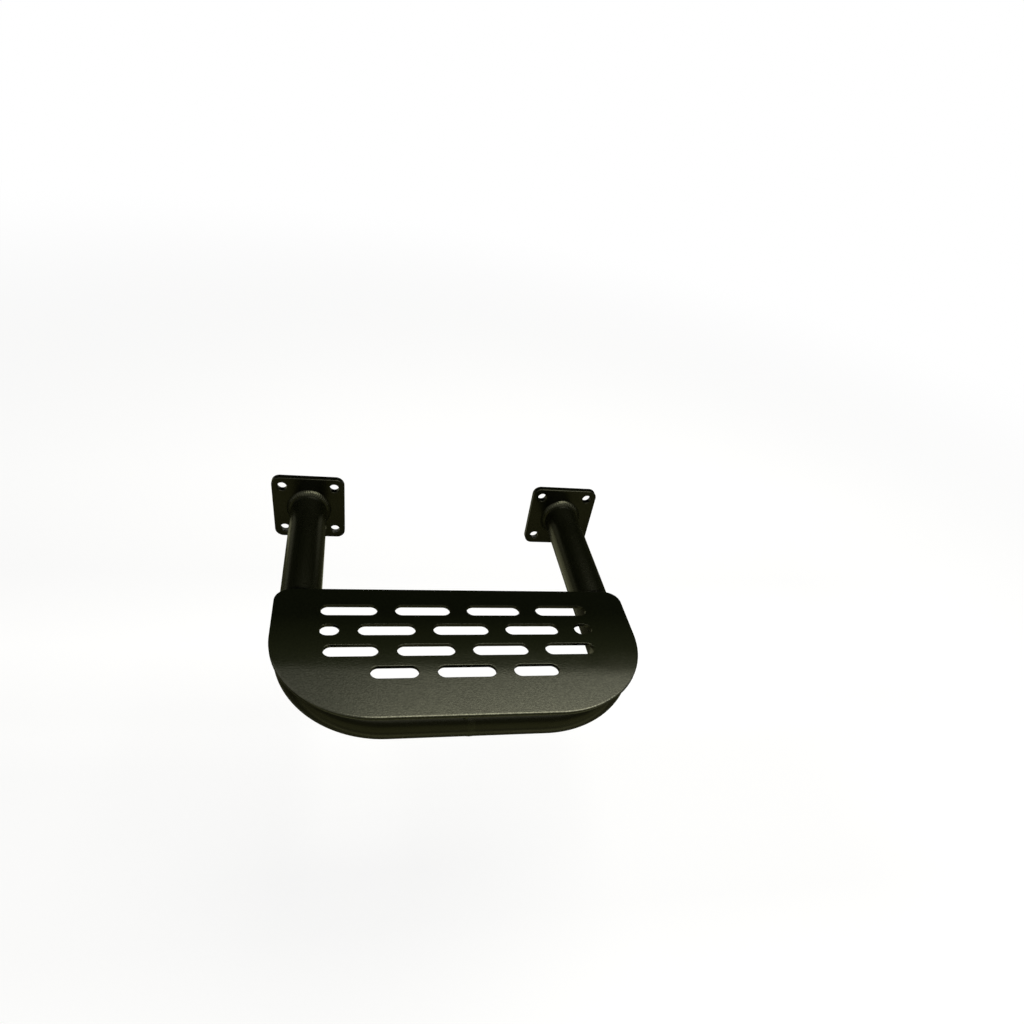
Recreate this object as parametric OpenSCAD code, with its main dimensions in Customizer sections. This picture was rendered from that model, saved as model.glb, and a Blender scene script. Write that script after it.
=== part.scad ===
// Side step: a slotted tread plate welded onto a bent tube hoop with two mounting flanges.
// Millimetres. X runs along the vehicle, +Y towards it and +Z up.
// The origin is midway between the flanges, on their mounting face, at the height of the tube's axis.

/* [Tread plate] */
// Width of the tread plate, along the vehicle
plate_w = 365; // [340:1:420]
// Depth of the tread plate, from its front edge to its rear edge
plate_d = 167; // [155:1:200]
// Thickness of the tread plate
plate_t = 4; // [3:0.5:6]
// Radius of the two front corners
front_corner_r = 100; // [85:1:110]
// Radius of the two rear corners
rear_corner_r = 17; // [8:1:30]

/* [Slots] */
// Length of a full slot
slot_l = 56; // [40:1:64]
// Width of a slot
slot_w = 15; // [10:0.5:18]
// Distance from slot to slot along a row
slot_pitch = 73.3; // [70:0.1:80]
// Distance from row to row
row_pitch = 27.7; // [24:0.1:30]
// Number of rows
row_count = 4; // [2:1:4]
// Metal left between the slots and the plate's front and side edges
edge_margin = 45; // [42:0.5:52]

/* [Hoop] */
// Outside diameter of the tube
tube_d = 42.4; // [38:0.1:48.3]
// Wall of the tube
tube_wall = 2.6; // [2:0.1:4]
// Radius of each bend, at the tube's axis
bend_r = 85; // [76:1:95]
// How far the plate's sides stand out past the tube
side_overhang = 1.6; // [0.5:0.1:12]
// How far the plate's front edge stands out past the tube
front_overhang = 0.9; // [0.5:0.1:12]
// Distance from the mounting face to the plate's front edge
reach = 350; // [320:1:430]

/* [Flanges] */
// Width of a flange
flange_w = 84; // [78:1:100]
// Height of a flange
flange_h = 84; // [78:1:110]
// Thickness of a flange
flange_t = 8; // [6:0.5:12]
// Radius of a flange's corners
flange_corner_r = 10; // [4:1:14]
// Diameter of a bolt hole
bolt_hole_d = 11; // [9:0.5:13]
// Distance between a flange's bolt holes, across
bolt_pitch_x = 60; // [54:1:64]
// Distance between a flange's bolt holes, up and down
bolt_pitch_z = 60; // [54:1:64]

/* [Welds] */
// Gap between the two bevelled tube ends at the root of the butt weld
root_gap = 2; // [1:0.5:3]
// Angle of the bevel on each tube end
bevel_angle = 30; // [20:1:35]
// Height of the butt weld's cap above the tube
cap_h = 0.4; // [0.2:0.1:1]
// How far the cap laps onto the tube on each side of the groove
cap_lap = 1; // [0.5:0.1:2]
// How far below the plate the butt weld is dressed flat
dress_gap = 0.2; // [0.1:0.1:0.5]
// Length of a stitch weld
stitch_l = 40; // [20:1:50]
// Diameter of the bead that forms a stitch weld
stitch_d = 8; // [6:0.5:9]
// Distance from the line where tube and plate touch to the stitch's axis
stitch_offset = 9; // [8:0.5:10]
// Distance from the centre of the step to the middle of a front stitch
front_stitch_x = 45; // [40:1:55]
// Length of the front tack weld
tack_l = 6; // [4:0.5:12]
// Diameter of the bead that forms the tack weld
tack_d = 14; // [10:0.5:14]
// Distance from the line where tube and plate touch to the tack's axis
tack_offset = 14.5; // [12:0.5:14.5]
// Leg of the fillet weld around each flange joint
fillet_leg = 5; // [3:0.5:6]

/* [Hidden] */
$fn = 96;
coat_black = [0.11, 0.11, 0.10];
weld_black = [0.16, 0.16, 0.14];
// Length by which a cutter runs past what it cuts
past = 1;
tube_r = tube_d / 2;
bore_r = tube_r - tube_wall;
// Where the tube's axis runs: the arms at arm_x each side, the front run at hoop_y
arm_x = plate_w / 2 - side_overhang - tube_r;
hoop_y = -reach + front_overhang + tube_r;
bend_x = arm_x - bend_r;
bend_y = hoop_y + bend_r;
// The middle of the stretch of arm that lies straight under the plate
arm_stitch_y = (bend_y - reach + plate_d) / 2;
// Half the width of the butt weld's groove at the tube's surface
groove_half = root_gap / 2 + tube_wall * tan(bevel_angle);

// A row's distance from the plate's front edge, counted from the front
function row_y(row) = edge_margin + slot_w / 2 + row * row_pitch;

// How far out a row's slots may reach, so that a round slot end keeps the margin to the front corner too
function row_reach(row) =
    let (end_r = front_corner_r - edge_margin - slot_w / 2)
    let (drop = max(0, front_corner_r - row_y(row)))
    plate_w / 2 - front_corner_r + slot_w / 2 + sqrt(max(0, end_r * end_r - drop * drop));

module quarter_disc(r) {
    intersection() {
        circle(r);
        square(r + past);
    }
}

module plate_outline() {
    front_x = plate_w / 2 - front_corner_r;
    rear_x = plate_w / 2 - rear_corner_r;
    rear_y = plate_d - rear_corner_r;
    translate([-front_x, 0]) square([2 * front_x, front_corner_r]);
    translate([-plate_w / 2, front_corner_r]) square([plate_w, rear_y - front_corner_r]);
    translate([-rear_x, rear_y]) square([2 * rear_x, rear_corner_r]);
    translate([front_x, front_corner_r]) rotate(-90) quarter_disc(front_corner_r);
    translate([-front_x, front_corner_r]) rotate(180) quarter_disc(front_corner_r);
    translate([rear_x, rear_y]) quarter_disc(rear_corner_r);
    translate([-rear_x, rear_y]) rotate(90) quarter_disc(rear_corner_r);
}

module slot_outline(length) {
    square([length - slot_w, slot_w], center = true);
    translate([slot_w / 2 - length / 2, 0]) circle(d = slot_w);
    translate([length / 2 - slot_w / 2, 0]) circle(d = slot_w);
}

// A row of slots, each cut short at the row's reach, and left out where too little of it would remain
module slot_row(row) {
    limit = row_reach(row);
    shift = row % 2 == 0 ? 0 : slot_pitch / 2;
    side_count = ceil(limit / slot_pitch);
    for (i = [-side_count - 1 : side_count]) {
        from = max(i * slot_pitch + shift - slot_l / 2, -limit);
        to = min(i * slot_pitch + shift + slot_l / 2, limit);
        if (to - from > slot_w + past) {
            translate([(from + to) / 2, row_y(row)]) slot_outline(to - from);
        }
    }
}

module tread_plate() {
    color(coat_black)
    translate([0, -reach, tube_r])
    difference() {
        linear_extrude(plate_t) plate_outline();
        for (row = [0 : row_count - 1]) {
            translate([0, 0, -past]) linear_extrude(plate_t + 2 * past) slot_row(row);
        }
    }
}

module tube_section() {
    difference() {
        circle(tube_r);
        circle(bore_r);
    }
}

// Half the hoop: the bend, the front run with its bevelled end, and the arm back to the flange.
// All three are placed from the bend's centre, so that their ends meet exactly.
module hoop_half() {
    translate([-bend_x, bend_y, 0]) {
        rotate([0, 0, 180])
        rotate_extrude(angle = 90) translate([bend_r, 0]) tube_section();
        translate([0, -bend_r, 0])
        rotate([0, 90, 0])
        rotate_extrude() polygon([
            [bore_r, 0], [tube_r, 0], [tube_r, bend_x - groove_half], [bore_r, bend_x - root_gap / 2]
        ]);
        translate([-bend_r, 0, 0])
        rotate([-90, 0, 0])
        linear_extrude(-flange_t - bend_y) tube_section();
    }
}

module left_hoop_tube() {
    color(coat_black) hoop_half();
}

module right_hoop_tube() {
    color(coat_black) mirror([1, 0, 0]) hoop_half();
}

// The weld fills the groove between the bevels and stands proud in a low cap, which is dressed flat under the plate
module hoop_butt_weld() {
    cap_half = groove_half + cap_lap;
    color(weld_black)
    translate([0, hoop_y, 0])
    difference() {
        rotate([0, 90, 0])
        rotate_extrude() polygon([
            [bore_r, -root_gap / 2], [tube_r, -groove_half], [tube_r, -cap_half], [tube_r + cap_h, -cap_half / 2],
            [tube_r + cap_h, cap_half / 2], [tube_r, cap_half], [tube_r, groove_half], [bore_r, root_gap / 2]
        ]);
        translate([-tube_d, -tube_d, tube_r - dress_gap]) cube([2 * tube_d, 2 * tube_d, tube_d]);
    }
}

// What a bead in the notch between tube and plate is cut back by: the plate above it
module plate_side() {
    translate([0, 0, tube_r + tube_d / 2]) cube([4 * tube_d, 4 * tube_d, tube_d], center = true);
}

// A round-ended bead on the +Y side of a straight tube that runs along X
module straight_stitch() {
    half = (stitch_l - stitch_d) / 2;
    difference() {
        translate([0, stitch_offset, tube_r]) {
            rotate([0, 90, 0]) cylinder(d = stitch_d, h = 2 * half, center = true);
            translate([-half, 0, 0]) sphere(d = stitch_d);
            translate([half, 0, 0]) sphere(d = stitch_d);
        }
        plate_side();
        rotate([0, 90, 0]) cylinder(r = tube_r, h = 2 * stitch_l, center = true);
    }
}

// The same bead with square ends, on the inner side of a bend around the origin, in the middle of its quarter turn
module bend_stitch() {
    turn = stitch_l / (bend_r - stitch_offset) * 180 / PI;
    rotate([0, 0, 225 - turn / 2])
    rotate_extrude(angle = turn)
    translate([bend_r, 0])
    difference() {
        translate([-stitch_offset, tube_r]) circle(d = stitch_d);
        translate([-tube_d, tube_r]) square(tube_d);
        circle(tube_r);
    }
}

// The tack lies on the outer side of the front run, just beside the cap of the butt weld
module front_tack_weld() {
    color(weld_black)
    translate([-groove_half - cap_lap - tack_l / 2, hoop_y, 0])
    difference() {
        translate([0, -tack_offset, tube_r]) rotate([0, 90, 0]) cylinder(d = tack_d, h = tack_l, center = true);
        plate_side();
        rotate([0, 90, 0]) cylinder(r = tube_r, h = 2 * tack_l, center = true);
    }
}

module left_front_stitch() {
    color(weld_black) translate([-front_stitch_x, hoop_y, 0]) straight_stitch();
}

module right_front_stitch() {
    color(weld_black) translate([front_stitch_x, hoop_y, 0]) straight_stitch();
}

module left_bend_stitch() {
    color(weld_black) translate([-bend_x, bend_y, 0]) bend_stitch();
}

module right_bend_stitch() {
    color(weld_black) mirror([1, 0, 0]) translate([-bend_x, bend_y, 0]) bend_stitch();
}

module left_arm_inner_stitch() {
    color(weld_black) translate([-arm_x, arm_stitch_y, 0]) rotate([0, 0, -90]) straight_stitch();
}

module right_arm_inner_stitch() {
    color(weld_black) translate([arm_x, arm_stitch_y, 0]) rotate([0, 0, 90]) straight_stitch();
}

module left_arm_outer_stitch() {
    color(weld_black) translate([-arm_x, arm_stitch_y, 0]) rotate([0, 0, 90]) straight_stitch();
}

module right_arm_outer_stitch() {
    color(weld_black) translate([arm_x, arm_stitch_y, 0]) rotate([0, 0, -90]) straight_stitch();
}

module flange_outline() {
    flat_w = flange_w - 2 * flange_corner_r;
    flat_h = flange_h - 2 * flange_corner_r;
    square([flange_w, flat_h], center = true);
    square([flat_w, flange_h], center = true);
    for (sx = [-1, 1], sz = [-1, 1]) {
        translate([sx * flat_w / 2, sz * flat_h / 2]) circle(flange_corner_r);
    }
}

// A flange with its mounting face at Y = 0 and the tube's axis through its middle
module flange() {
    rotate([90, 0, 0])
    difference() {
        linear_extrude(flange_t) flange_outline();
        for (sx = [-1, 1], sz = [-1, 1]) {
            translate([sx * bolt_pitch_x / 2, sz * bolt_pitch_z / 2, -past])
            cylinder(d = bolt_hole_d, h = flange_t + 2 * past);
        }
    }
}

// The fillet between a flange's front face and the tube, slightly convex
module flange_fillet() {
    bulge = 0.58 * fillet_leg;
    translate([0, -flange_t, 0])
    rotate([90, 0, 0])
    rotate_extrude() polygon([
        [tube_r, 0], [tube_r + fillet_leg, 0], [tube_r + bulge, bulge], [tube_r, fillet_leg]
    ]);
}

module left_flange() {
    color(coat_black) translate([-arm_x, 0, 0]) flange();
}

module right_flange() {
    color(coat_black) translate([arm_x, 0, 0]) flange();
}

module left_flange_weld() {
    color(weld_black) translate([-arm_x, 0, 0]) flange_fillet();
}

module right_flange_weld() {
    color(weld_black) translate([arm_x, 0, 0]) flange_fillet();
}

tread_plate();
left_hoop_tube();
right_hoop_tube();
hoop_butt_weld();
front_tack_weld();
left_front_stitch();
right_front_stitch();
left_bend_stitch();
right_bend_stitch();
left_arm_inner_stitch();
right_arm_inner_stitch();
left_arm_outer_stitch();
right_arm_outer_stitch();
left_flange();
right_flange();
left_flange_weld();
right_flange_weld();
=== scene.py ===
import math

import bmesh
import bpy
import numpy as np
from mathutils import Matrix, Vector
from mathutils.geometry import tessellate_polygon


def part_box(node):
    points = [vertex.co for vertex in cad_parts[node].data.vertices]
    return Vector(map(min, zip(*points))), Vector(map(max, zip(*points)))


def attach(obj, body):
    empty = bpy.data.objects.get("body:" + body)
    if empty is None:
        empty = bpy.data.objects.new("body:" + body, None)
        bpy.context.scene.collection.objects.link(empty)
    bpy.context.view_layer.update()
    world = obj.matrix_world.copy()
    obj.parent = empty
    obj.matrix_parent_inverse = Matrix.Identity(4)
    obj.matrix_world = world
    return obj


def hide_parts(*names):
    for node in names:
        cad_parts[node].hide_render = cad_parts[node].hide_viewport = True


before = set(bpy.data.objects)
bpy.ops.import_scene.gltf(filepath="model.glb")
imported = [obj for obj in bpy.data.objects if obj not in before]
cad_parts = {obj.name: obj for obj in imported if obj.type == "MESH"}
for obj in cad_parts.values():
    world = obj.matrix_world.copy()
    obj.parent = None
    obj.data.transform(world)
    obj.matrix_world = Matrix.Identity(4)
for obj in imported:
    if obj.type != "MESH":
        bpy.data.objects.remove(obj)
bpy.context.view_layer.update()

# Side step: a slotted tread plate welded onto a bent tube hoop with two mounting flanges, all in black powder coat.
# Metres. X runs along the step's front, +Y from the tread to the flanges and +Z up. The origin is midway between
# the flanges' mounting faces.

plate_low, plate_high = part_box("tread_plate")
camera_place = Vector((-0.1020, plate_low.y - 0.3674, plate_high.z + 0.4743))
camera_azimuth = math.radians(-17.27)
camera_elevation = math.radians(41.39)
camera_roll = math.radians(11.99)
image_pixels = 1024
focal_pixels = 675.85
axis_column = 511.5
axis_row = 603.34
sensor_width = 36.0

forward = Vector((
    -math.sin(camera_azimuth) * math.cos(camera_elevation),
    math.cos(camera_azimuth) * math.cos(camera_elevation),
    -math.sin(camera_elevation),
))
level_right = forward.cross(Vector((0, 0, 1))).normalized()
level_up = level_right.cross(forward)
camera_right = math.cos(camera_roll) * level_right + math.sin(camera_roll) * level_up
camera_up = -math.sin(camera_roll) * level_right + math.cos(camera_roll) * level_up

camera_data = bpy.data.cameras.new("camera")
camera_data.sensor_width = sensor_width
camera_data.sensor_fit = "HORIZONTAL"
camera_data.lens = focal_pixels / image_pixels * sensor_width
camera_data.shift_x = (image_pixels / 2 - axis_column) / image_pixels
camera_data.shift_y = (axis_row - image_pixels / 2) / image_pixels
camera_data.clip_start = 0.01
camera_data.dof.use_dof = False
camera = bpy.data.objects.new("camera", camera_data)
camera.matrix_world = Matrix.Translation(camera_place) @ Matrix(
    (camera_right, camera_up, -forward)).transposed().to_4x4()
bpy.context.scene.collection.objects.link(camera)
bpy.context.scene.camera = camera


# Tread plate: 4 mm steel sheet, laser-cut with big front corners and four staggered rows of slots.
# It is black with a sandy powder coat, which rounds the cut edges, and it is welded on top of the hoop.
plate_half_width = plate_high.x
front_corner_radius = 0.100
rear_corner_radius = 0.017
plate_edge = (0.0015, 0.0007)
slot_edge = (0.00035, 0.00035)
slot_length = 0.056
slot_width = 0.015
slot_pitch = 0.0733
row_pitch = 0.0277
slots_each_side = 3
row_count = 4
edge_margin = 0.045


def grid_faces(rows, columns, wrap_rows=False, wrap_columns=False):
    """Quads between the neighbouring points of a grid. A wrapped side joins its last points to its first."""
    row, column = np.meshgrid(
        np.arange(rows - (not wrap_rows)), np.arange(columns - (not wrap_columns)), indexing="ij")
    next_row, next_column = (row + 1) % rows, (column + 1) % columns
    quads = [row * columns + column, row * columns + next_column,
             next_row * columns + next_column, next_row * columns + column]
    return np.stack(quads, axis=-1).reshape(-1, 4).tolist()


def new_piece(name, points, faces, sharp_angle=40):
    """A closed mesh on the root body.

    Coincident points are merged, faces are turned outwards, and the surface is smooth but for its sharp edges.
    """
    mesh = bpy.data.meshes.new(name)
    mesh.from_pydata(points.reshape(-1, 3).tolist(), [], faces)
    shell = bmesh.new()
    shell.from_mesh(mesh)
    bmesh.ops.remove_doubles(shell, verts=shell.verts, dist=1e-6)
    bmesh.ops.recalc_face_normals(shell, faces=shell.faces)
    shell.to_mesh(mesh)
    shell.free()
    mesh.shade_smooth()
    mesh.set_sharp_from_angle(angle=math.radians(sharp_angle))
    piece = bpy.data.objects.new(name, mesh)
    bpy.context.scene.collection.objects.link(piece)
    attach(piece, "root")
    return piece


def rim_grid(arcs, inset, height, arc_points):
    """The rim of an outline made of arcs joined by straight lines, as a grid of (inset and height) by (way round).

    A point is its arc's centre plus (radius - inset) times the direction at its angle, at the given height.
    """
    centre_x, centre_y, radius, start, end = np.asarray(arcs, float).T[:, None, :, None]
    angle = start + (end - start) * np.linspace(0, 1, arc_points)
    reach = radius - inset[:, None, None]
    grid = np.empty((len(inset), len(arcs), arc_points, 3))
    grid[..., 0] = centre_x + reach * np.cos(angle)
    grid[..., 1] = centre_y + reach * np.sin(angle)
    grid[..., 2] = height[:, None, None]
    return grid.reshape(len(inset), -1, 3)


def rim_profile(edge, low, high, edge_steps=6, land=0.0006):
    """How far in from the cut a rim lies, and how high, from the upper flat to the lower one.

    The edge is a quarter ellipse, as far in as its first number and as deep as its second. The inset starts a
    land inside it, follows it to 0, stays 0 down the wall, and follows a second quarter ellipse back.
    """
    edge_inset, edge_drop = edge
    turn = np.linspace(0, math.pi / 2, edge_steps + 1)
    upper = np.concatenate([[edge_inset + land], edge_inset * (1 - np.sin(turn))])
    upper_z = np.concatenate([[high], high - edge_drop * (1 - np.cos(turn))])
    return np.concatenate([upper, upper[::-1]]), np.concatenate([upper_z, high + low - upper_z[::-1]])


def cut_sheet(outline, holes, low, high, edge, hole_edge, arc_points=24):
    """Points and faces of a flat sheet with rounded edges, from low to high along Z.

    The outline's rim lies inside its line and a hole's rim outside its own, so a hole takes the profile with its
    inset reversed. The two flats are filled with triangles between the innermost lines.
    """
    inset, height = rim_profile(edge, low, high)
    hole_inset, hole_height = rim_profile(hole_edge, low, high)
    rims = [rim_grid(outline, inset, height, arc_points)]
    rims += [rim_grid(hole, -hole_inset, hole_height, arc_points) for hole in holes]
    starts = np.cumsum([0] + [rim.shape[0] * rim.shape[1] for rim in rims])
    faces = []
    for rim, start in zip(rims, starts):
        quads = np.array(grid_faces(rim.shape[0], rim.shape[1], wrap_columns=True)) + start
        faces += quads.tolist()
    for line in (0, len(inset) - 1):
        index = np.concatenate([
            start + line * rim.shape[1] + np.arange(rim.shape[1]) for rim, start in zip(rims, starts)])
        triangles = tessellate_polygon([rim[line].tolist() for rim in rims])
        faces += index[np.array(triangles)].tolist()
    return np.concatenate([rim.reshape(-1, 3) for rim in rims]), faces


def corner(x, y, radius, start_quarter, quarters=1):
    """One arc of an outline: its centre, its radius, and the angles at its ends."""
    return (x, y, radius, start_quarter * math.pi / 2, (start_quarter + quarters) * math.pi / 2)


def row_slots(row):
    """A row's slots, each a pair of half circles.

    Every other row is shifted by half a pitch, and every slot end keeps the margin inside the plate's outline.
    """
    from_front = edge_margin + slot_width / 2 + row * row_pitch
    inner_radius = front_corner_radius - edge_margin - slot_width / 2
    drop = max(0.0, front_corner_radius - from_front)
    straight_half = plate_half_width - front_corner_radius
    limit = straight_half + slot_width / 2 + math.sqrt(max(0.0, inner_radius ** 2 - drop ** 2))
    shift = slot_pitch / 2 if row % 2 else 0.0
    slots = []
    for place in range(-slots_each_side, slots_each_side):
        middle = place * slot_pitch + shift
        left = max(middle - slot_length / 2, -limit)
        right = min(middle + slot_length / 2, limit)
        if right - left > slot_width:
            y = plate_low.y + from_front
            radius = slot_width / 2
            slots.append([
                corner(right - radius, y, radius, -1, 2), corner(left + radius, y, radius, 1, 2)])
    return slots


coat_index = 1.5
peel_size = 5
speckle_size = 1.1
speckle_range = (0.35, 0.65)
grain_range = (0.35, 0.75)
# Painted shade darkens the coat's base colour in the grain's pits, and a painted highlight lightens it on the
# crests.
pit_shade, crest_light_level = 0.8, 1.2
drift_size = 0.035
drift_range = (0.3, 0.7)
drift_reach = 0.015


def powder_coat(name, colour, roughness, sheen_level, sheen_tint,
                grain_size, grain_depth, grain_shine, grain_dull, peel_depth, crest_highlight_extra):
    """Powder coat: a dark resin with a fine grain on it and a slow orange-peel wave under the grain.

    The grain and the wave are noise on the object's own coordinates and reach the shader as bumps. Single grains
    are rougher or smoother than the rest, some have a duller sheen, and a coarser noise lets the roughness drift.
    The base colour follows the grain's height, with painted shade in the pits and a painted highlight on the crests.
    The sizes of the wave and of the speckle are multiples of the grain's.
    """
    material = bpy.data.materials.new(name)
    material.use_nodes = True
    nodes, links = material.node_tree.nodes, material.node_tree.links
    shader = nodes["Principled BSDF"]
    shader.inputs["IOR"].default_value = coat_index
    shader.inputs["Specular IOR Level"].default_value = sheen_level
    place = nodes.new("ShaderNodeTexCoord")

    def noise(size, detail):
        texture = nodes.new("ShaderNodeTexNoise")
        texture.inputs["Scale"].default_value = 1 / size
        texture.inputs["Detail"].default_value = detail
        links.new(place.outputs["Object"], texture.inputs["Vector"])
        return texture.outputs["Fac"]

    def mapped(value, low, high, to_low, to_high):
        spread = nodes.new("ShaderNodeMapRange")
        for socket, number in zip(("From Min", "From Max", "To Min", "To Max"), (low, high, to_low, to_high)):
            spread.inputs[socket].default_value = number
        links.new(value, spread.inputs["Value"])
        return spread.outputs["Result"]

    def blend(value, low, high, dark, light, socket):
        mix = nodes.new("ShaderNodeMix")
        mix.data_type = "RGBA"
        mix.inputs["A"].default_value = (*dark, 1)
        mix.inputs["B"].default_value = (*light, 1)
        links.new(mapped(value, low, high, 0.0, 1.0), mix.inputs["Factor"])
        links.new(mix.outputs["Result"], shader.inputs[socket])
        shader.inputs[socket].default_value = (*light, 1)

    def bump(height, depth, under=None):
        relief = nodes.new("ShaderNodeBump")
        relief.inputs["Distance"].default_value = depth
        links.new(height, relief.inputs["Height"])
        if under:
            links.new(under, relief.inputs["Normal"])
        return relief.outputs["Normal"]

    grain = noise(grain_size, detail=3)
    wave = bump(noise(grain_size * peel_size, detail=1), peel_depth)
    links.new(bump(grain, grain_depth, wave), shader.inputs["Normal"])
    drift = mapped(noise(drift_size, detail=3), *drift_range, -drift_reach, drift_reach)
    speckle = noise(grain_size * speckle_size, detail=0)
    shine = mapped(speckle, *speckle_range, roughness + grain_shine, roughness - grain_shine)
    total = nodes.new("ShaderNodeMath")
    total.operation = "ADD"
    links.new(drift, total.inputs[0])
    links.new(shine, total.inputs[1])
    links.new(total.outputs["Value"], shader.inputs["Roughness"])

    dull_tint = [c * (1 - grain_dull) for c in sheen_tint]
    # The base colour follows the grain's height: painted shade in its pits, a painted highlight on its crests.
    pit_shade_colour = [c * pit_shade for c in colour]
    crest_highlight_colour = [c * (crest_light_level + crest_highlight_extra) for c in colour]
    blend(speckle, *speckle_range, dull_tint, sheen_tint, "Specular Tint")
    blend(grain, *grain_range, pit_shade_colour, crest_highlight_colour, "Base Color")
    return material


front_x = plate_half_width - front_corner_radius
rear_x = plate_half_width - rear_corner_radius
front_centre_y = plate_low.y + front_corner_radius
rear_centre_y = plate_high.y - rear_corner_radius
plate_outline = [
    corner(rear_x, rear_centre_y, rear_corner_radius, 0),
    corner(-rear_x, rear_centre_y, rear_corner_radius, 1),
    corner(-front_x, front_centre_y, front_corner_radius, 2),
    corner(front_x, front_centre_y, front_corner_radius, 3),
]
plate_slots = [slot for row in range(row_count) for slot in row_slots(row)]
tread_plate = new_piece("coated_tread_plate", *cut_sheet(
    plate_outline, plate_slots, plate_low.z, plate_high.z, plate_edge, slot_edge))
tread_coat = powder_coat(
    "sandy_black_coat", colour=(0.0047, 0.0055, 0.0023), roughness=0.18,
    sheen_level=0.57, sheen_tint=(1, 1, 0.73),
    grain_size=0.0018, grain_depth=0.00010, grain_shine=0.02, grain_dull=0.3, peel_depth=0.00004, crest_highlight_extra=0.5)
tread_plate.data.materials.append(tread_coat)
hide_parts("tread_plate")


# Hoop tubes: two lengths of round steel tube, each bent once, that meet end to end under the plate's front.
# Their coat is the same powder coat but smoother, with a soft satin sheen along the tube, and a darker colour as
# painted shade.
tube_low, tube_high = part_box("left_hoop_tube")
tube_radius = (tube_high.z - tube_low.z) / 2
tube_wall = 0.0026
bend_radius = 0.085
root_gap = 0.002
bevel_angle = math.radians(30)
arm_x = -tube_low.x - tube_radius
hoop_y = tube_low.y + tube_radius
arm_end_y = tube_high.y
bend_x, bend_y = arm_x - bend_radius, hoop_y + bend_radius
groove_half = root_gap / 2 + tube_wall * math.tan(bevel_angle)
straight_points, bend_points = 6, 49
up = np.array([0, 0, 1.0])


def hoop_path(start):
    """The tube's axis from the centre of the front run to the flange, and the level direction out of the bend.

    The front run is straight along -X, the bend turns by 90 degrees about its centre, and the arm is
    straight along +Y. The outward direction is (-sin turn, -cos turn).
    """
    turn = np.concatenate([
        np.zeros(straight_points), np.linspace(0, math.pi / 2, bend_points), np.full(straight_points, math.pi / 2)])
    outward = np.stack([-np.sin(turn), -np.cos(turn), np.zeros_like(turn)], axis=-1)
    axis = np.array([-bend_x, bend_y, 0]) + bend_radius * outward
    axis[:straight_points, 0] = np.linspace(-start, -bend_x, straight_points + 1)[:-1]
    axis[-straight_points:, 1] = np.linspace(bend_y, arm_end_y, straight_points + 1)[1:]
    return axis, outward


def hoop_tube(name, side, ring_points=96):
    """Half the hoop. Rings of the outer radius run along the path, and rings of the bore run back.

    A point is the axis plus radius times (cos angle outward + sin angle up). The rings are wrapped both ways,
    so the bevel at the front and the square end at the flange close the wall.
    """
    axis, outward = hoop_path(groove_half)
    bore_axis, bore_outward = hoop_path(root_gap / 2)
    centre = np.concatenate([axis, bore_axis[::-1]])[:, None]
    out = np.concatenate([outward, bore_outward[::-1]])[:, None]
    radius = np.concatenate([np.full(len(axis), tube_radius), np.full(len(axis), tube_radius - tube_wall)])
    angle = np.linspace(0, 2 * math.pi, ring_points, endpoint=False)[None, :, None]
    points = centre + radius[:, None, None] * (np.cos(angle) * out + np.sin(angle) * up)
    points[..., 0] *= side
    return new_piece(name, points, grid_faces(len(centre), ring_points, True, True))


# The frame's base colour is darker than the tread's: painted shade on the tubes and flanges.
frame_coat = powder_coat(
    "satin_black_coat", colour=(0.0019, 0.0022, 0.0008), roughness=0.25,
    sheen_level=0.36, sheen_tint=(1, 1, 0.68),
    grain_size=0.0012, grain_depth=0.00004, grain_shine=0.02, grain_dull=0.1, peel_depth=0.00008, crest_highlight_extra=0.3)
for side_name, side in (("left", 1), ("right", -1)):
    tube = hoop_tube(f"coated_{side_name}_hoop_tube", side)
    tube.data.materials.append(frame_coat)
    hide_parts(f"{side_name}_hoop_tube")


# Butt weld: the bead that joins the two tubes all round. It fills the groove between their bevelled ends and stands
# proud in a low crown that fades out onto the tube, with the fine ripples of a wire weld, and is dressed off on top.
cap_half = groove_half + 0.001
crown_height = 0.00024
cap_ripple = {"pitch": 0.0015, "depth": 0.00007, "crescent": 0.0012}
dressed_z = tube_radius - 0.0002
slow_wander, slow_rate = 0.16, 310
quick_wander, quick_rate, quick_start = 0.11, 870, 1.3
# The coat over the welds is a lighter, glossier copy of the frame's coat, so the welds show lighter than the tubes:
# a painted highlight.
weld_highlight_coat = powder_coat(
    "coat_over_weld", colour=(0.0030, 0.0033, 0.0012), roughness=0.28,
    sheen_level=0.42, sheen_tint=(1, 1, 0.68),
    grain_size=0.0012, grain_depth=0.00005, grain_shine=0.02, grain_dull=0.1, peel_depth=0.00006, crest_highlight_extra=0.3)


def ripples(along, across, pitch, depth, crescent):
    """The scales of a weld: at each point, depth times the sine of half a turn over each pitch.

    The pitch is counted along the bead, and the middle of a scale runs ahead of its sides by the crescent.
    The pitch wanders a little, by two sines of the place along the bead, as a hand does.
    """
    wander = slow_wander * np.sin(along * slow_rate) + quick_wander * np.sin(along * quick_rate + quick_start)
    phase = (along + crescent * (1 - across ** 2)) / pitch + wander
    return depth * np.sin(math.pi * (phase % 1.0)) * (1 - across ** 2)


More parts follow.
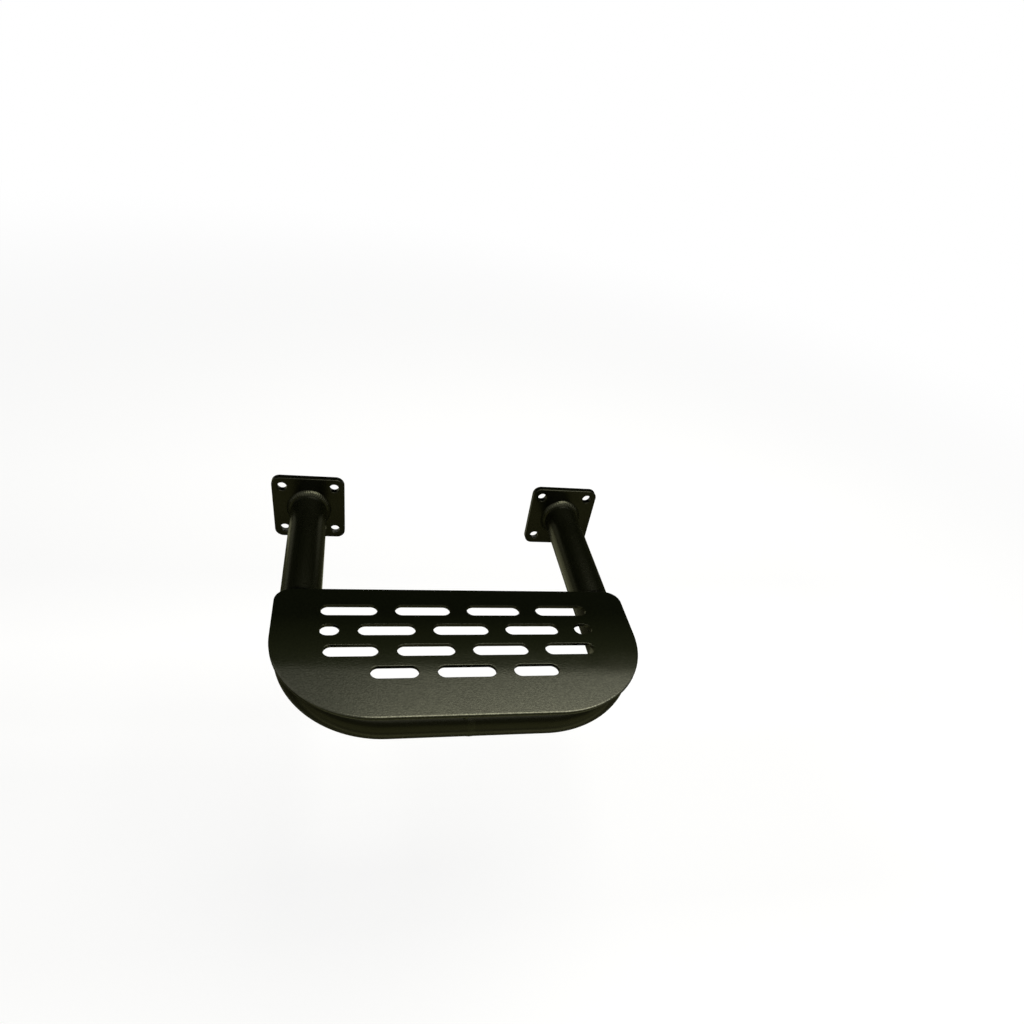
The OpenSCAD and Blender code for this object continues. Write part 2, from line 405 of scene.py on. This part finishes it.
def butt_weld(name, ring_points=360, cap_points=15):
    """A ring about the X axis of the front run. Across it, the crown is the tube's radius plus the crown's height
    times (1 - (place / half width) squared) squared, and two straight flanks run down to the root.
    """
    place = np.linspace(-1, 1, cap_points)[:, None]
    angle = np.linspace(0, 2 * math.pi, ring_points, endpoint=False)[None]
    crown = tube_radius + crown_height * (1 - place ** 2) ** 2 + ripples(
        angle * tube_radius, place, **cap_ripple)
    flanks = np.array([
        [groove_half, tube_radius], [root_gap / 2, tube_radius - tube_wall],
        [-root_gap / 2, tube_radius - tube_wall], [-groove_half, tube_radius]])
    across = np.concatenate([cap_half * place, flanks[:, :1]]) + 0 * angle
    radius = np.concatenate([crown, flanks[:, 1:] + 0 * angle])
    height = np.minimum(radius * np.sin(angle), dressed_z)
    points = np.stack([across, hoop_y + radius * np.cos(angle), height], axis=-1)
    piece = new_piece(name, points, grid_faces(len(across), ring_points, True, True))
    piece.data.materials.append(weld_highlight_coat)
    return piece


butt_joint = butt_weld("coated_butt_weld")
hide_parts("hoop_butt_weld")


# Stitch welds and tack: short beads in the notch where the plate lies on the tube, which hold the plate down.
# Eight stitches lie inside and outside the hoop, and the short fat tack shows at the front beside the butt weld.
stitch_length = 0.040
stitch_offset = 0.009
stitch_radius = 0.004
tack_length = 0.006
tack_offset = 0.0145
tack_radius = 0.007
front_stitch_x = 0.045
arm_stitch_y = (bend_y + plate_high.y) / 2
bead_ripple_share, bead_crescent_share = 0.07, 0.5


def notch_bead(name, axis, side, length, offset, full_radius, end_power, pitch,
               face_points=13, tube_points=5, back_points=4):
    """A bead along the notch between the plate's underside and the tube, closed at its ends.

    Across the bead, a circle stands about the point at the offset on the plate's underside. The face follows it
    from the plate to the tube, bulged by the ripples, then the bead runs back along the tube and round the hidden
    inner side. Its radius is the full one times (1 - |place| to the power) to one over the power, so it closes
    at both ends. Where the circle no longer reaches the tube, the face ends at the tube's nearest point.
    """
    place = np.linspace(-1, 1, len(axis))[:, None]
    end_length = min(full_radius, length / 2)
    into_end = np.clip((np.abs(place) * length / 2 - (length / 2 - end_length)) / end_length, 0, 1)
    fullness = (1 - into_end ** end_power) ** (1 / end_power)
    radius = full_radius * fullness
    span = math.hypot(offset, tube_radius)
    nearest = math.atan2(offset, tube_radius)
    opening = np.arccos(np.clip((tube_radius ** 2 + span ** 2 - radius ** 2) / (2 * tube_radius * span), -1, 1))
    outer, inner = nearest + opening, nearest - opening

    def on_tube(angle):
        return tube_radius * np.sin(angle), tube_radius * np.cos(angle)

    def swept(from_turn, from_radius, to_turn, to_radius, share):
        turn = from_turn + (to_turn - from_turn) * share
        reach = from_radius + (to_radius - from_radius) * share
        return turn, reach

    def turn_and_reach(point):
        return np.arctan2(point[1] - tube_radius, point[0] - offset), np.hypot(
            point[0] - offset, point[1] - tube_radius)

    share = np.linspace(0, 1, face_points)[None]
    toe_turn, toe_reach = turn_and_reach(on_tube(outer))
    face_turn, face_reach = swept(0, radius, toe_turn, toe_reach, share)
    face_reach = face_reach + fullness * ripples(
        place * length / 2, 2 * share - 1, pitch,
        depth=bead_ripple_share * full_radius, crescent=bead_crescent_share * full_radius)
    tube_angle = outer + (inner - outer) * np.linspace(0, 1, tube_points)[None]
    back_turn, back_reach = turn_and_reach(on_tube(inner))
    back_turn, back_reach = swept(
        back_turn, back_reach, -math.pi, radius, np.linspace(0, 1, back_points)[None])
    along_side = np.concatenate([
        offset + face_reach * np.cos(face_turn), on_tube(tube_angle)[0], offset + back_reach * np.cos(back_turn)],
        axis=1)
    upwards = np.concatenate([
        tube_radius + face_reach * np.sin(face_turn), on_tube(tube_angle)[1],
        tube_radius + back_reach * np.sin(back_turn)], axis=1)
    upwards = np.minimum(upwards, tube_radius)
    points = axis[:, None] + along_side[..., None] * side[:, None] + upwards[..., None] * up
    piece = new_piece(name, points, grid_faces(len(axis), points.shape[1], wrap_columns=True))
    piece.data.materials.append(weld_highlight_coat)
    return piece


def straight_line(x, y, direction, side, length, steps):
    """Points along a straight stretch of the tube's axis about its middle, and the side on which the bead lies."""
    reach = np.linspace(-length / 2, length / 2, steps)[:, None]
    return np.array([x, y, 0]) + reach * np.array(direction), np.tile(np.array(side, float), (steps, 1))


def bend_line(mirror, length, steps):
    """Points along the middle of a bend's quarter turn, for a bead of the given length on its inner side."""
    turn = math.radians(225) + np.linspace(-0.5, 0.5, steps) * length / (bend_radius - stitch_offset)
    out = np.stack([np.cos(turn), np.sin(turn), np.zeros(steps)], axis=-1)
    axis = np.array([-bend_x, bend_y, 0]) + bend_radius * out
    flip = np.array([mirror, 1, 1])
    return axis * flip, -out * flip


stitch_steps = 161
stitch_lines = {}
for side_name, sign in (("left", -1), ("right", 1)):
    stitch_lines[f"{side_name}_front_stitch"] = straight_line(
        sign * front_stitch_x, hoop_y, (1, 0, 0), (0, 1, 0), stitch_length, stitch_steps)
    stitch_lines[f"{side_name}_bend_stitch"] = bend_line(-sign, stitch_length, stitch_steps)
    stitch_lines[f"{side_name}_arm_inner_stitch"] = straight_line(
        sign * arm_x, arm_stitch_y, (0, 1, 0), (-sign, 0, 0), stitch_length, stitch_steps)
    stitch_lines[f"{side_name}_arm_outer_stitch"] = straight_line(
        sign * arm_x, arm_stitch_y, (0, -1, 0), (sign, 0, 0), stitch_length, stitch_steps)
for node, (axis, side) in stitch_lines.items():
    stitch = notch_bead(
        f"coated_{node}", axis, side, stitch_length, stitch_offset, stitch_radius, end_power=2.2, pitch=0.0022)
    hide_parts(node)

tack_x = -cap_half - tack_length / 2
tack_steps = 41
tack = notch_bead(
    "coated_front_tack_weld", *straight_line(tack_x, hoop_y, (1, 0, 0), (0, -1, 0), tack_length, tack_steps),
    tack_length, tack_offset, tack_radius, end_power=2.6, pitch=0.0024)
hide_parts("front_tack_weld")


# Mounting flanges: 8 mm steel plates with four bolt holes, one on the square end of each arm.
# Their corners are round and their edges are broken, and they carry the frame's satin coat.
flange_low, flange_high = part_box("left_flange")
flange_half = (flange_high.x - flange_low.x) / 2
flange_corner_radius = 0.010
flange_edge = (0.0012, 0.0008)
bolt_hole_radius = 0.0055
bolt_pitch = 0.060


def flange(name, centre_x):
    """A sheet cut flat and stood on edge: its outline's X and Y become X and Z, and its thickness lies along Y."""
    flat = flange_half - flange_corner_radius
    outline = [
        corner(flat, flat, flange_corner_radius, 0), corner(-flat, flat, flange_corner_radius, 1),
        corner(-flat, -flat, flange_corner_radius, 2), corner(flat, -flat, flange_corner_radius, 3)]
    holes = [
        [corner(sx * bolt_pitch / 2, sz * bolt_pitch / 2, bolt_hole_radius, quarter) for quarter in range(4)]
        for sx in (-1, 1) for sz in (-1, 1)]
    points, faces = cut_sheet(
        outline, holes, flange_low.y, flange_high.y, flange_edge, flange_edge, arc_points=12)
    piece = new_piece(name, points[:, [0, 2, 1]] + np.array([centre_x, 0, 0]), faces)
    piece.data.materials.append(frame_coat)
    return piece


# Flange welds: a fillet right round each arm where it meets its flange, laid in one pass with open ripples.
# The leg swells and shrinks a little on the way round, and the coat lies over the bead.
fillet_leg = 0.005
fillet_bulge = 0.0006
wide_swell, wide_count = 0.05, 3
small_swell, small_count = 0.03, 7
fillet_ripple = {"pitch": 0.0026, "depth": 0.00035, "crescent": 0.0021}
fillet_start, fillet_start_step = math.radians(-90), math.radians(20)


def fillet_ring(name, centre_x, start_turn, ring_points=520, face_points=13):
    """A closed ring in the corner between the flange's front and the tube.

    The leg swells by two sines of the turn. The face runs straight from the leg's end on the flange to its end
    on the tube, raised by the bulge times (1 - place squared) and by the ripples. The root in the corner closes
    the section.
    """
    turn = np.linspace(0, 2 * math.pi, ring_points, endpoint=False)[:, None]
    place = np.linspace(-1, 1, face_points)[None]
    swell = wide_swell * np.sin(wide_count * turn + start_turn) + small_swell * np.sin(small_count * turn)
    leg = fillet_leg * (1 + swell)
    raised = fillet_bulge * (1 - place ** 2) + ripples(
        turn * (tube_radius + fillet_leg / 2), place, **fillet_ripple)
    outwards = leg * (1 - place) / 2 + raised * math.sqrt(0.5)
    forwards = leg * (1 + place) / 2 + raised * math.sqrt(0.5)
    root = 0 * turn
    radius = tube_radius + np.concatenate([outwards, root], axis=1)
    points = np.stack([
        centre_x + radius * np.cos(turn + start_turn),
        flange_low.y - np.concatenate([forwards, root], axis=1),
        radius * np.sin(turn + start_turn)], axis=-1)
    piece = new_piece(name, points, grid_faces(ring_points, points.shape[1], True, True))
    piece.data.materials.append(weld_highlight_coat)
    return piece


for side_name, sign in (("left", -1), ("right", 1)):
    mount = flange(f"coated_{side_name}_flange", sign * arm_x)
    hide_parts(f"{side_name}_flange")
    fillet = fillet_ring(
        f"coated_{side_name}_flange_weld", sign * arm_x, fillet_start + sign * fillet_start_step)
    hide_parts(f"{side_name}_flange_weld")


# Floor: a pale floor well below the step, which hangs by its flanges. Near the step it keeps the step's shadow,
# and further out it fades to plain white, as the backdrop is, so that no horizon shows.
floor_z = -0.35
floor_half = 30.0
shadow_radius, fade_radius = 1.0, 3.0
lit_grey, shadow_grey = (0.8, 0.8, 0.8, 1), (0.22, 0.22, 0.22, 1)
near_glow, far_glow = 0.84, 1.0
floor_mesh = bpy.data.meshes.new("floor")
floor_mesh.from_pydata(
    [(-floor_half, -floor_half, floor_z), (floor_half, -floor_half, floor_z),
     (floor_half, floor_half, floor_z), (-floor_half, floor_half, floor_z)], [], [(0, 1, 2, 3)])
floor = bpy.data.objects.new("floor", floor_mesh)
bpy.context.scene.collection.objects.link(floor)


def seen_directly(tree):
    """A value of 1 for camera, glossy and transmission rays, and 0 for the rays that carry diffuse light."""
    path = tree.nodes.new("ShaderNodeLightPath")
    total = path.outputs["Is Camera Ray"]
    for ray in ("Is Glossy Ray", "Is Transmission Ray"):
        either = tree.nodes.new("ShaderNodeMath")
        either.operation = "MAXIMUM"
        tree.links.new(total, either.inputs[0])
        tree.links.new(path.outputs[ray], either.inputs[1])
        total = either.outputs["Value"]
    return total


floor_material = bpy.data.materials.new("pale_floor")
floor_material.use_nodes = True
floor_tree = floor_material.node_tree
floor_tree.nodes.clear()


def floor_node(kind, **values):
    node = floor_tree.nodes.new(kind)
    for socket, value in values.items():
        node.inputs[socket].default_value = value
    return node


floor_place = floor_node("ShaderNodeNewGeometry")
floor_distance = floor_node("ShaderNodeVectorMath")
floor_distance.operation = "LENGTH"
floor_fade = floor_node("ShaderNodeMapRange")
floor_fade.interpolation_type = "SMOOTHSTEP"
floor_fade.inputs["From Min"].default_value = shadow_radius
floor_fade.inputs["From Max"].default_value = fade_radius
floor_diffuse = floor_node("ShaderNodeBsdfDiffuse", Color=lit_grey)
floor_shadow = floor_node("ShaderNodeBsdfDiffuse", Color=shadow_grey)
floor_glow = floor_node("ShaderNodeEmission", Strength=near_glow)
floor_white = floor_node("ShaderNodeEmission", Strength=far_glow)
floor_near = floor_node("ShaderNodeAddShader")
floor_seen = floor_node("ShaderNodeMixShader")
floor_mix = floor_node("ShaderNodeMixShader")
floor_out = floor_node("ShaderNodeOutputMaterial")
for output, socket in (
        (floor_place.outputs["Position"], floor_distance.inputs[0]),
        (floor_distance.outputs["Value"], floor_fade.inputs["Value"]),
        (floor_shadow.outputs[0], floor_near.inputs[0]),
        (floor_glow.outputs[0], floor_near.inputs[1]),
        (floor_fade.outputs["Result"], floor_seen.inputs["Fac"]),
        (floor_near.outputs[0], floor_seen.inputs[1]),
        (floor_white.outputs[0], floor_seen.inputs[2]),
        (seen_directly(floor_tree), floor_mix.inputs["Fac"]),
        (floor_diffuse.outputs[0], floor_mix.inputs[1]),
        (floor_seen.outputs[0], floor_mix.inputs[2]),
        (floor_mix.outputs[0], floor_out.inputs["Surface"])):
    floor_tree.links.new(output, socket)
floor_mesh.materials.append(floor_material)


# Backdrop and lights: a white world that lights the step only dimly, a wide soft lamp overhead, and a weaker one
# with a grid behind the step, which shines on the right of the tread more than on its left.
world_light_level, world_seen_level = 0.18, 1.0
world = bpy.data.worlds.new("studio")
bpy.context.scene.world = world
world.use_nodes = True
world_tree = world.node_tree
world_light = world_tree.nodes["Background"]
world_light.inputs["Color"].default_value = (1, 1, 1, 1)
world_strength = world_tree.nodes.new("ShaderNodeMapRange")
world_strength.inputs["To Min"].default_value = world_light_level
world_strength.inputs["To Max"].default_value = world_seen_level
world_tree.links.new(seen_directly(world_tree), world_strength.inputs["Value"])
world_tree.links.new(world_strength.outputs["Result"], world_light.inputs["Strength"])

lamp_colour = (1.0, 0.99, 0.9)


def softbox(name, size, radiance, place, aim, half_spread=math.pi / 2):
    """A square soft lamp at a place, turned to its aim, whose face glows at the radiance straight ahead.

    A grid narrows it to the half spread. A lamp's power is then pi times area times radiance times
    (1 - half spread / its tangent).
    """
    data = bpy.data.lights.new(name, "AREA")
    data.shape = "SQUARE"
    data.size = size
    data.spread = 2 * half_spread
    data.energy = math.pi * size ** 2 * radiance * (1 - half_spread / math.tan(half_spread))
    data.color = lamp_colour
    box = bpy.data.objects.new(name, data)
    box.location = place
    box.rotation_euler = (Vector(place) - Vector(aim)).to_track_quat("Z", "Y").to_euler()
    box.visible_camera = False
    bpy.context.scene.collection.objects.link(box)


softbox("overhead_softbox", size=1.15, radiance=7.2, place=(0.45, 0.02, 1.5), aim=(0.45, 0.02, 0.0))
softbox("rear_softbox", size=1.9, radiance=1.15, place=(0.9, 1.1, 1.6), aim=(0.12, -0.30, plate_high.z),
        half_spread=math.radians(30))


# Painted shade and painted reflections: sheets out of the camera's sight, each glowing on its own. Two dark cards
# stand behind the plate and behind the flanges, the first leaning over the plate's rear; they cast painted shade and
# take the sheen off the rear of the step. Grey glowing sheets lie on the floor, with one pale strip, a dark screen
# on the right and a low wall all round; these show only in the sheen, as painted reflections: without them the
# undersides and flanks of the tubes would mirror plain white.
def screen(name, points, glow, shades=False, faces=((0, 1, 2, 3),)):
    """A dull sheet out of the camera's sight, whose own even glow shows in the sheen of the coat.

    One that shades also holds back the lamps and the world, as painted shade, and any other is there for the sheen
    alone, as a painted reflection.
    """
    mesh = bpy.data.meshes.new(name)
    mesh.from_pydata(points, [], faces)
    material = bpy.data.materials.new(name)
    material.use_nodes = True
    shader = material.node_tree.nodes["Principled BSDF"]
    shader.inputs["Base Color"].default_value = (0.0, 0.0, 0.0, 1)
    shader.inputs["Roughness"].default_value = 1.0
    shader.inputs["Specular IOR Level"].default_value = 0.0
    shader.inputs["Emission Color"].default_value = (*glow, 1)
    shader.inputs["Emission Strength"].default_value = 1.0
    mesh.materials.append(material)
    sheet = bpy.data.objects.new(name, mesh)
    sheet.visible_camera = False
    sheet.visible_diffuse = shades
    sheet.visible_shadow = shades
    sheet.visible_transmission = shades
    bpy.context.scene.collection.objects.link(sheet)


def painted_shade_card(name, half_width, y, low, left_high, right_high, lean, glow):
    """A dark card across the step, from its foot at y, with an upper edge that may slope and lean to the front."""
    # The card casts painted shade, and its dim glow shows as a dark painted reflection.
    screen(name, [(-half_width, y, low), (half_width, y, low),
                  (half_width, y - lean, right_high), (-half_width, y - lean, left_high)],
           glow, shades=True)


painted_shade_card("plate_shade_card", half_width=0.7, y=plate_high.y + 0.008, low=plate_high.z + 0.002,
          left_high=plate_high.z + 0.041, right_high=plate_high.z + 0.101, lean=0.06, glow=(0.052, 0.061, 0.034))
painted_shade_card("flange_shade_card", half_width=0.9, y=0.10, low=0.05,
          left_high=0.45, right_high=0.45, lean=0.0, glow=(0.0, 0.0, 0.0))

# Painted reflections: glowing sheets on the floor, a pale strip, a dark screen on the right and a low wall all
# round, seen only in the sheen.
glow_sheet_half = 3.0
glow_sheet_z = floor_z + 0.01
strip_z = glow_sheet_z + 0.01
for name, front, rear, glow in (
        ("far_reflection_sheet", -glow_sheet_half, -0.74, (0.40, 0.40, 0.21)),
        ("step_edge_reflection_sheet", -0.74, -0.56, (0.16, 0.16, 0.09)),
        ("near_reflection_sheet", -0.56, -0.45, (0.44, 0.44, 0.23)),
        ("dark_reflection_sheet", -0.45, glow_sheet_half, (0.07, 0.07, 0.035))):
    screen(name, [(-glow_sheet_half, front, glow_sheet_z), (glow_sheet_half, front, glow_sheet_z),
                  (glow_sheet_half, rear, glow_sheet_z), (-glow_sheet_half, rear, glow_sheet_z)], glow)
screen("pale_reflection_sheet", [(0.02, 0.12, strip_z), (0.08, 0.24, strip_z),
                      (-0.70, 1.30, strip_z), (-1.00, 0.92, strip_z)], (0.52, 0.52, 0.32))
screen("right_reflection_screen", [(0.6, -0.15, -0.3), (0.6, 0.8, -0.3), (0.6, 0.8, 0.5), (0.6, -0.15, 0.5)],
       (0.02, 0.02, 0.01))

wall_radius, wall_height, wall_points = 3.0, 1.4, 25
for name, start_turn, glow in (
        ("rear_reflection_wall", 0.0, (0.24, 0.24, 0.17)),
        ("front_reflection_wall", math.pi, (0.14, 0.14, 0.09))):
    wall_turn = start_turn + np.linspace(0, math.pi, wall_points)
    wall_ring = np.stack([wall_radius * np.cos(wall_turn), wall_radius * np.sin(wall_turn)], axis=-1)
    wall_rims = [np.column_stack([wall_ring, np.full(wall_points, z)]) for z in (glow_sheet_z, floor_z + wall_height)]
    screen(name, np.concatenate(wall_rims).tolist(), glow, faces=grid_faces(2, wall_points))

bpy.context.scene.view_settings.view_transform = "Standard"
